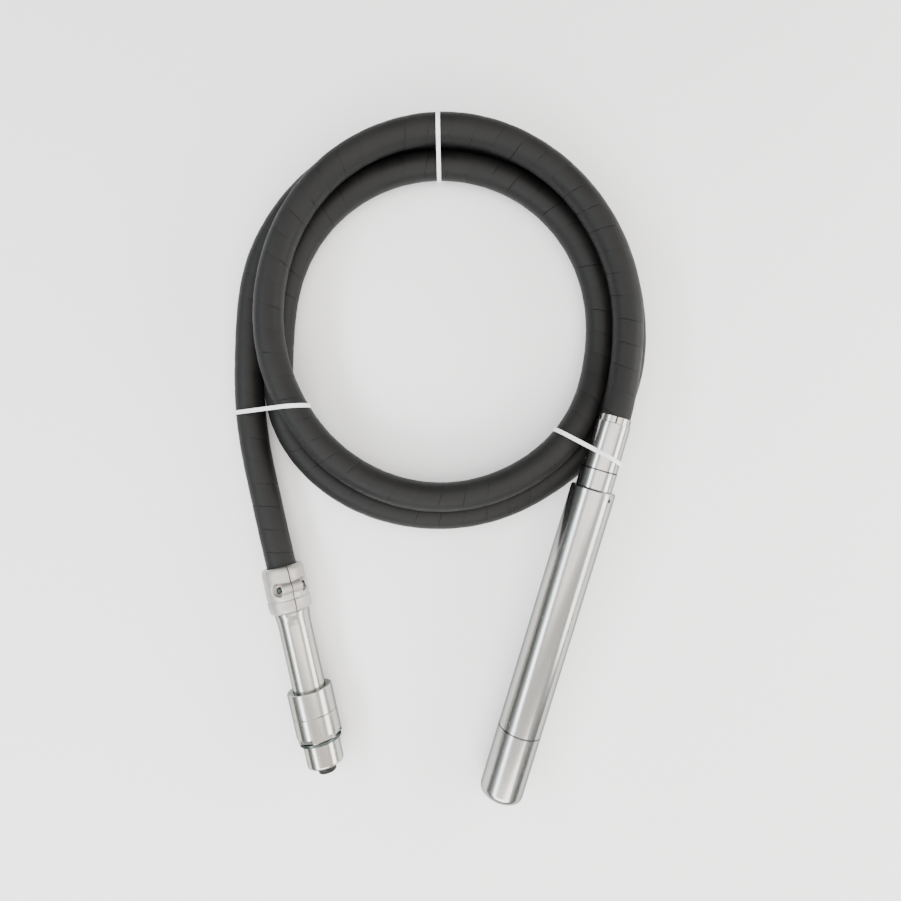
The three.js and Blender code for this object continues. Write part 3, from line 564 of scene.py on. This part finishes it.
def build_clamp_half(name, hand, node_name):
    casting = turned(name, [
        (17.3, 0, 0.3), (20.2, 0, 0.8), (22.6, 1.5, 1.5), (24, 5, 3), (24.3, 9, 3), (24.3, 36, 0.3),
        (23.6, 36.6, 0.2), (23.6, 37.6, 0.2), (24.7, 38.8, 0.6), (24.8, 47, 3), (24, 51, 2),
        (22.5, 53, 0.6), (19.25, 53, 0.3), (19.25, 40, 0), (21.4, 40, 0), (21.4, 33, 0),
        (19.25, 33, 0), (19.25, 29.5, 0), (17.3, 29.5, 0),
    ], CLAMP)
    for _, side, half, _ in CLAMP_BOLTS:
        boss = rod("boss", BOSS_R, -half, half, bolt_place(side), 1.0)
        if side < 0:
            boolean(boss, rod("trim", 25.5, 0, 53, CLAMP, 0), "INTERSECT")
        boolean(casting, boss, "UNION")
    boolean(casting, rod("bore", 17.3, -1, 54, CLAMP, 0, 96))
    boolean(casting, rod("pipe_seat", 19.25, 29.5, 54, CLAMP, 0, 96))
    low, high = sorted((hand * HALF_GAP, -hand * 40))
    boolean(casting, block("other_half", (low, -5, -40), (high, 60, 40), CLAMP))
    for _, side, half, pocket in CLAMP_BOLTS:
        start, end = sorted((hand * half, hand * 40))
        boolean(casting, rod("pocket", pocket, start, end, bolt_place(side), 0))
        boolean(casting, rod("bolt_hole", 2.8, -40, 40, bolt_place(side), 0, 40))
    remesh = casting.modifiers.new("remesh", "REMESH")
    remesh.mode = "VOXEL"
    remesh.voxel_size = CAST_VOXEL
    smooth = casting.modifiers.new("smooth", "SMOOTH")
    smooth.factor = 0.5
    smooth.iterations = 4
    bake_modifiers(casting)
    casting.data.shade_smooth()
    settle(casting, "cast_aluminium", "housing", node_name)


def build_clamp():
    build_clamp_half("clamp_casting_a", -1, "clamp_half_a")
    build_clamp_half("clamp_casting_b", 1, "clamp_half_b")
    for label, side, half, _ in CLAMP_BOLTS:
        place = bolt_place(side)
        head = half + 0.3
        bolt = turned(f"socket_screw_{label}", [
            (0, -head - 3.4, 0), (3.8, -head - 3.4, 0.5), (3.8, -head, 0.15), (2.5, -head, 0),
            (2.5, head + 3.7, 0.4), (0, head + 3.7, 0),
        ], place, closed=False, sides=48)
        boolean(bolt, rod("key_socket", 1.9, -head - 5, -head - 1.4, place, 0, 6))
        settle(bolt, "dark_steel", "housing", f"clamp_bolt_{label}")
        nut = turned(f"hex_nut_{label}", [
            (2.8, head, 0), (3.3, head, 0), (3.8, head + 0.4, 0), (3.8, head + 2.8, 0),
            (3.3, head + 3.2, 0), (2.8, head + 3.2, 0),
        ], place, sides=6)
        settle(nut, "dark_steel", "housing", f"clamp_nut_{label}")


def build_coupling():
    tube = turned("coupling_tube_flared", [
        (12, 31, 0), (18.75, 31, 0), (18.75, 33.4, 0), (21.1, 33.4, 0), (21.1, 39.6, 0), (18.75, 39.6, 0),
        (18.75, 53.6, 0), (20.2, 53.6, 0.5), (20, 57, 2.5), (19.2, 62, 6), (18.75, 68, 6), (18.75, 172, 0),
        (17, 172, 0), (17, 182, 0), (12, 182, 0),
    ], COUPLING)
    settle(tube, "plated_steel", "housing", "coupling_tube")
    spigot = turned("spigot_turned", [
        (17.3, 172.3, 0), (19.8, 172.3, 0), (19.8, 193, 0), (20.9, 193, 0), (20.9, 204, 0),
        (20, 204, 0), (20, 208.4, 0), (21.25, 208.4, 0.3), (21.25, SPIGOT_END, 3),
        (12, SPIGOT_END, 0.5), (12, 182.3, 0), (17.3, 182.3, 0),
    ], COUPLING)
    settle(spigot, "plated_steel", "housing", "spigot")
    ring = turned("snap_ring", [
        (20.3, 204.3, 0), (24.4, 204.3, 0.6), (24.4, 208.1, 0.9), (20.3, 208.1, 0),
    ], COUPLING)
    settle(ring, "dark_steel", "housing", "retaining_ring")
    cap = turned("collar_cap_turned", [
        (19.1, 146, 0.2), (26, 146, 1.1), (26, 175, 0.7), (24.4, 175, 0), (24.4, 181, 0), (23.2, 181, 0),
        (23.2, 152, 0), (19.1, 152, 0),
    ], COUPLING)
    settle(cap, "plated_steel", "collar", "collar_cap")
    sleeve = turned("lock_collar_notched", [
        (24.7, 175.3, 0), (26, 175.3, 0.7), (26, 203.8, 0.9), (21.2, 203.8, 0.2), (21.2, 190, 0),
        (23.2, 190, 0), (23.2, 181.3, 0), (24.7, 181.3, 0),
    ], COUPLING)
    for i in range(NOTCH_COUNT):
        place = about_axis(COUPLING, NOTCH_TURN - 2 * math.pi * i / NOTCH_COUNT)
        boolean(sleeve, block("notch", (-9, 198.2, 22.3), (9, 206, 30), place))
    settle(sleeve, "plated_steel", "collar", "lock_collar")
    tip_piece = rod("drive_jaw", 10.5, 236.4, 245.4, COUPLING, 1.2)
    boolean(tip_piece, block("square", (-4, 235, -4), (4, 248, 4), COUPLING))
    settle(tip_piece, "seal_rubber", "drive", "drive_tip")


def build_spring():
    """The collar's spring: four turns of round wire."""
    radius, wire, turns, start, end, travel = 21.4, 0.8, 4, 158.3, 189.5, 8.0
    steps, sides = 48 * turns, 12
    low, high = start + wire, end - wire
    bm = bmesh.new()
    rows = []
    for i in range(steps + 1):
        a = 2 * math.pi * turns * i / steps
        station = low + (high - low) * i / steps
        spoke = Vector((math.cos(a), 0, math.sin(a)))
        row = []
        for k in range(sides):
            b = 2 * math.pi * k / sides
            place = spoke * (radius + wire * math.cos(b)) + Vector((0, station + wire * math.sin(b), 0))
            row.append(bm.verts.new(place * MM))
        rows.append(row)
    for row, after in zip(rows, rows[1:]):
        for k in range(sides):
            n = (k + 1) % sides
            bm.faces.new((row[k], row[n], after[n], after[k]))
    bm.faces.new(rows[0])
    bm.faces.new(rows[-1])
    spring = object_from("coil_spring", bm, COUPLING, sharp=60)
    settle(spring, "turned_steel", "housing", "collar_spring")
    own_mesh(spring)


# ---- Hose ------------------------------------------------------------------------------
def hose_frames():
    """For each route point, two directions square to the hose, carried along without twist."""
    ahead = np.gradient(ROUTE, axis=0)
    ahead /= np.linalg.norm(ahead, axis=1)[:, None]
    first = np.cross(ahead[0], (0, 0, 1))
    first /= np.linalg.norm(first)
    sides = [first]
    for direction in ahead[1:]:
        moved = sides[-1] - direction * np.dot(sides[-1], direction)
        sides.append(moved / np.linalg.norm(moved))
    sides = np.array(sides)
    return sides, np.cross(ahead, sides)


def build_hose():
    """The rubber tube with its bore, swelling a little between the marks of its tape wrap."""
    side, up = hose_frames()
    turns = np.arange(HOSE_SIDES) / HOSE_SIDES
    angle = 2 * math.pi * turns
    spoke = side[:, None] * np.cos(angle)[:, None] + up[:, None] * np.sin(angle)[:, None]
    phase = (ROUTE_RUN[:, None] / WRAP_PITCH + turns[None]) % 1
    mark = np.exp(-(np.minimum(phase, 1 - phase) / 0.07) ** 2)
    swell = 0.00012 * (np.sin(math.pi * phase) - 0.6) - 0.00010 * mark
    outer = ROUTE[:, None] + spoke * (HOSE_R + swell)[..., None]
    inner = ROUTE[:, None] + spoke * HOSE_BORE_R
    rows = len(ROUTE)
    bm = bmesh.new()
    uv = bm.loops.layers.uv.new("hose")
    grids = [[[bm.verts.new(p) for p in row] for row in layer] for layer in (outer, inner)]

    def face(corners, places):
        made = bm.faces.new(corners)
        for loop, place in zip(made.loops, places):
            loop[uv].uv = place

    for layer, grid in enumerate(grids):
        for i in range(rows - 1):
            for k in range(HOSE_SIDES):
                n = (k + 1) % HOSE_SIDES
                corners = [grid[i][k], grid[i][n], grid[i + 1][n], grid[i + 1][k]]
                a, b = k / HOSE_SIDES, (k + 1) / HOSE_SIDES
                s, t = ROUTE_RUN[i], ROUTE_RUN[i + 1]
                places = [(a, s), (b, s), (b, t), (a, t)]
                if layer:
                    corners.reverse()
                    places.reverse()
                face(corners, places)
    for i in (0, rows - 1):
        for k in range(HOSE_SIDES):
            n = (k + 1) % HOSE_SIDES
            corners = [grids[0][i][k], grids[1][i][k], grids[1][i][n], grids[0][i][n]]
            face(corners, [(k / HOSE_SIDES, ROUTE_RUN[i])] * 4)
    hose = object_from("rubber_hose", bm, sharp=60)
    return settle(hose, "hose_rubber", "housing", "hose_head", "hose_tail", "hose_coil")


# ---- Ties ------------------------------------------------------------------------------
TIE_WIDTH = 0.0048
TIE_THICKNESS = 0.0012
TIE_CLEAR = 0.0003
# Each tie's upright plane: a point from the coil's centre, and the plane's azimuth
TIES = {
    "top": (Vector((-0.0028, 0.2000)), 90.8),
    "left": (Vector((-0.1860, -0.1020)), 4.3),
    "right": (Vector((0.1650, -0.1460)), -29.5),
}
TIE_REACH = 0.075  # a pass this near a tie's point goes through the tie
TIE_STEP = 0.0015
NECK_STATIONS = (376, 453)
NECK_R = 0.0203
LOCK_LEAN = math.pi / 6  # of a tie's lock below level


def hull(points):
    """Convex outline round 2D points, anticlockwise."""
    ordered = sorted(map(tuple, points))

    def half(run):
        chain = []
        for p in run:
            while len(chain) > 1:
                (ax, ay), (bx, by) = chain[-2], chain[-1]
                if (bx - ax) * (p[1] - ay) - (by - ay) * (p[0] - ax) > 1e-12:
                    break
                chain.pop()
            chain.append(p)
        return chain[:-1]

    return half(ordered) + half(ordered[::-1])


def crossings(line, radius, point, along, across):
    """Circles (u, z, radius) where a round line passes through an upright plane near a point."""
    offset = (line[:, :2] - point) @ across
    found = []
    for i in np.nonzero(np.sign(offset[:-1]) != np.sign(offset[1:]))[0]:
        share = offset[i] / (offset[i] - offset[i + 1])
        hit = line[i] + (line[i + 1] - line[i]) * share
        u = float((hit[:2] - point) @ along)
        if abs(u) < TIE_REACH:
            step = line[i + 1] - line[i]
            square = abs(float(step[:2] @ across)) / np.linalg.norm(step)
            found.append((u, float(hit[2]), radius, radius / square))
    return found


def tie_loop(circles, gap):
    """Closed loop in (u, z) that hugs the circles, even in spacing."""
    points = []
    for u, z, radius, wide in circles:
        for k in range(72):
            a = 2 * math.pi * k / 72
            height = z + (radius + gap) * math.sin(a)
            points.append((u + (wide + gap) * math.cos(a), max(height, gap - TIE_CLEAR)))
    chain = np.array(hull(points))
    chain = np.vstack([chain, chain[:1]])
    run = np.r_[0, np.cumsum(np.linalg.norm(np.diff(chain, axis=0), axis=1))]
    places = np.linspace(0, run[-1], round(run[-1] / TIE_STEP) + 1)[:-1]
    return np.stack([np.interp(places, run, chain[:, i]) for i in range(2)], 1)


def build_tie(label, point, azimuth):
    """A strap round what passes through the tie's plane, and its lock on the outer side."""
    turn = math.radians(azimuth)
    along = np.array([math.cos(turn), math.sin(turn)])
    across = np.array([-math.sin(turn), math.cos(turn)])
    point = np.array([COIL.x + point.x, COIL.y + point.y])
    neck = np.array([list(HEAD @ Vector((0, s * MM, 0))) for s in np.linspace(*NECK_STATIONS, 78)])
    circles = crossings(ROUTE, HOSE_R + 0.0002, point, along, across)
    circles += crossings(neck, NECK_R, point, along, across)
    loop = tie_loop(circles, TIE_CLEAR + TIE_THICKNESS / 2)
    ahead = np.roll(loop, -1, 0) - np.roll(loop, 1, 0)
    ahead /= np.linalg.norm(ahead, axis=1)[:, None]
    out = np.stack([ahead[:, 1], -ahead[:, 0]], 1)
    w, t = TIE_WIDTH / 2, TIE_THICKNESS / 2
    edge = 0.0004
    dip = 0.0002
    section = [
        (-w + edge, -t), (w - edge, -t), (w, -t + edge), (w, t - edge), (w - edge, t),
        (w * 0.5, t - dip), (-w * 0.5, t - dip), (-w + edge, t), (-w, t - edge), (-w, -t + edge),
    ]
    bm = bmesh.new()
    rows = []
    for (u, z), (ou, oz) in zip(loop, out):
        row = []
        for shift, rise in section:
            a, height = u + ou * rise, z + oz * rise
            base = point + along * a + across * shift
            row.append(bm.verts.new((base[0], base[1], height)))
        rows.append(row)
    for i, row in enumerate(rows):
        after = rows[(i + 1) % len(rows)]
        for k in range(len(section)):
            n = (k + 1) % len(section)
            bm.faces.new((row[k], row[n], after[n], after[k]))
    strap = object_from(f"nylon_tie_{label}", bm, sharp=50)
    outward = 1 if float((point - np.array(COIL.xy)) @ along) > 0 else -1
    level, fall = outward * math.cos(LOCK_LEAN), math.sin(LOCK_LEAN)
    score = loop[:, 0] * level - loop[:, 1] * fall
    u, z = loop[int(np.argmax(score))]
    base = point + along * u
    outwards = Vector((along[0] * level, along[1] * level, -fall))
    width = Vector((across[0], across[1], 0))
    matrix = Matrix((width, outwards.cross(width), outwards)).transposed().to_4x4()
    matrix.translation = (base[0], base[1], z)
    lock = tie_lock(f"tie_lock_{label}", matrix)
    settle(strap, "white_nylon", "housing", f"cable_tie_{label}")
    settle(lock, "white_nylon", "housing")
    return [strap, lock]


def tie_lock(name, place):
    """The tie's head: a small rounded box with a through slot and the cut strap end."""
    bm = bmesh.new()
    bmesh.ops.create_cube(bm, size=1)
    for v in bm.verts:
        taper = 0.86 if v.co.z > 0 else 1
        v.co = (v.co.x * 0.0068 * taper, v.co.y * 0.0062 * taper, (v.co.z + 0.5) * 0.0040 - 0.0002)
    bmesh.ops.bevel(bm, geom=list(bm.edges), offset=0.0006, segments=3, affect="EDGES", profile=0.6)
    lock = object_from(name, bm, place, sharp=40)
    boolean(lock, block("slot", (-2.7, -1.6, 1.6), (2.7, 0.2, 8), place))
    stub = block("stub", (-2.3, -1.1, 0.5), (2.3, -0.1, 4.6), place)
    boolean(lock, stub, "UNION")
    lock.data.set_sharp_from_angle(angle=math.radians(40))
    return lock


def build_ties():
    made = []
    for label, (point, azimuth) in TIES.items():
        made += build_tie(label, point, azimuth)
    return made


# ---- Stage -----------------------------------------------------------------------------
FLOOR_HALF = 16  # half the floor's side, so that its edge lies near the horizon
SKY_STRENGTH = 1.6


def build_floor():
    bm = bmesh.new()
    bmesh.ops.create_grid(bm, x_segments=2, y_segments=2, size=FLOOR_HALF)
    floor = object_from("floor", bm, Matrix.Translation((COIL.x, COIL.y - 0.15, -0.0003)))
    floor.data.materials.append(floor_material())


def area_light(name, place, target, size, power, colour):
    data = bpy.data.lights.new(name, "AREA")
    data.shape = "RECTANGLE"
    data.size, data.size_y = size
    data.energy = power
    data.color = colour
    light = bpy.data.objects.new(name, data)
    light.location = place
    light.rotation_mode = "QUATERNION"
    light.rotation_quaternion = (Vector(target) - Vector(place)).to_track_quat("-Z", "Y")
    bpy.context.scene.collection.objects.link(light)


def build_lights():
    """Broad soft lights, and a sky that is dark near the horizon, which gives the steel its edges."""
    centre = Vector((COIL.x, COIL.y - 0.15, 0))
    area_light("overhead", centre + Vector((0.25, 0, 1.9)), centre, (1.4, 2.4), 30, (1, 0.955, 0.91))
    area_light("left_strip", centre + Vector((-1.25, -0.1, 1.25)), centre, (2.6, 0.30), 32, (0.82, 0.92, 1))
    area_light("right_wall", centre + Vector((1.6, 0, 0.62)), centre, (2.6, 0.62), 44, (1, 1, 1))
    area_light("front_key", centre + Vector((-0.2, -1.7, 1.25)), centre, (2.2, 0.8), 50, (1, 0.985, 0.97))
    world = bpy.data.worlds.new("studio")
    world.use_nodes = True
    tree = world.node_tree
    background = tree.nodes["Background"]
    background.inputs[1].default_value = SKY_STRENGTH
    direction = tree.nodes.new("ShaderNodeTexCoord").outputs["Generated"]
    up = node(tree, "ShaderNodeSeparateXYZ", None, Vector=direction)
    rise = remap(tree, up.outputs[2], 0.25, 0.7)
    sky = blend_colour(tree, rise, (0.13, 0.145, 0.14, 1), (0.86, 0.83, 0.79, 1))
    tree.links.new(sky, background.inputs[0])
    bpy.context.scene.world = world


# ---- Assembly --------------------------------------------------------------------------
hose = build_hose()
build_head()
build_clamp()
build_coupling()
build_spring()
ties = build_ties()
for part in record["subparts"]:
    for slot in frame["nodes"][part["node"]].material_slots:
        slot.material = MATERIALS[part["material_slot"]]
build_floor()
build_lights()

bpy.context.view_layer.update()
